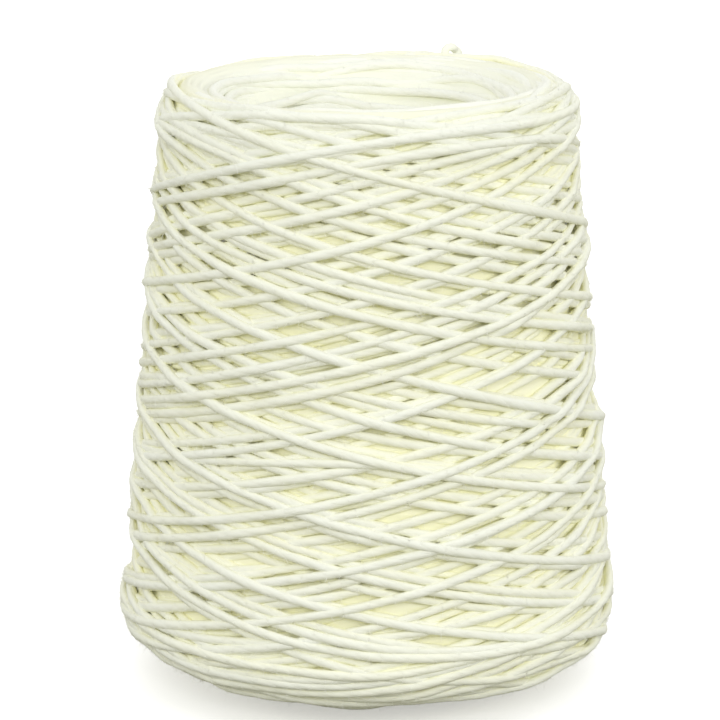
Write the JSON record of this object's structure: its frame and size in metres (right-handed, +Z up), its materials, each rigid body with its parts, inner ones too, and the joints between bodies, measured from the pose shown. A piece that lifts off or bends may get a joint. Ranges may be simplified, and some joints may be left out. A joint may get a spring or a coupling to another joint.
{
  "type": "cross-wound yarn cone",
  "caption": "Cross-wound cone of soft cream yarn on a tapered paperboard core, with rounded foot and shoulder, a dished top and a knotted running end.",
  "frame": {"origin": "centre of the core's base rim, on the surface the core stands on", "axes": "+Z up along the core's axis, from the wide base to the nose; -Y faces the viewer"},
  "size_m": [0.128, 0.128, 0.1578],
  "materials": {
    "core_board": "matte grey-brown board",
    "core_cover_paper": "satin off-white paper",
    "core_liner_paper": "matte kraft paper",
    "yarn_inner": "soft matte yarn",
    "yarn_outer": "soft matte yarn with a light nap"
  },
  "bodies": {
    "core": {"core_wall": "core_board", "core_cover": "core_cover_paper", "core_liner": "core_liner_paper"},
    "package": {"winding_first": "yarn_inner", "winding_middle": "yarn_inner", "winding_outer": "yarn_outer", "running_end": "yarn_outer", "end_knot": "yarn_outer"}
  },
  "joints": [
    {"name": "package_lift", "type": "slide", "parent": "core", "child": "package", "axis": [0, 0, 1], "range_m": [0, 0.15]}
  ]
}
